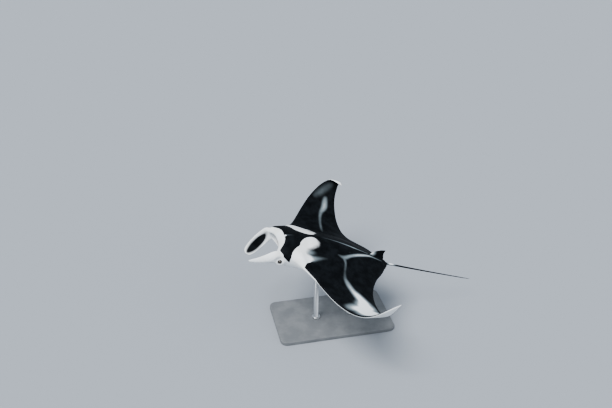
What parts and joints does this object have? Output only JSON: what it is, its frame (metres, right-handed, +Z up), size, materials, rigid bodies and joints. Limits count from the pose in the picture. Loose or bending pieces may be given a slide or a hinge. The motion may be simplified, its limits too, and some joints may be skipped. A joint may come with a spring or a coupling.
{
  "type": "reef manta ray",
  "caption": "Life-size model of a swimming reef manta ray, wings raised and mouth open, held on a flat base by two upright rods.",
  "frame": {"origin": "centre of the display stand's underside, on the floor", "axes": "+Z up, head towards -X and tail towards +X, right wing towards +Y and left wing towards -Y"},
  "size_m": [3.0252, 2.8652, 1.3719],
  "materials": {
    "dark_hide": "smooth and faintly moist, satin",
    "pale_hide": "smooth and faintly moist, satin",
    "eye": "wet gloss",
    "stand_paint": "matt",
    "rod_steel": "brushed"
  },
  "bodies": {
    "root": {"trunk": "dark_hide", "head": "dark_hide", "lower_jaw": "pale_hide", "cephalic_lobe_right": "pale_hide", "cephalic_lobe_left": "pale_hide", "eye_right": "eye", "eye_left": "eye", "wing_inner_right": "dark_hide", "wing_outer_right": "dark_hide", "wing_tip_right": "dark_hide", "wing_inner_left": "dark_hide", "wing_outer_left": "dark_hide", "wing_tip_left": "dark_hide", "dorsal_fin": "dark_hide", "pelvic_fin_right": "pale_hide", "pelvic_fin_left": "pale_hide", "tail_base": "dark_hide", "tail_middle": "dark_hide", "tail_tip": "dark_hide", "stand_base": "stand_paint", "stand_rod_front": "rod_steel", "stand_rod_rear": "rod_steel"}
  },
  "joints": []
}
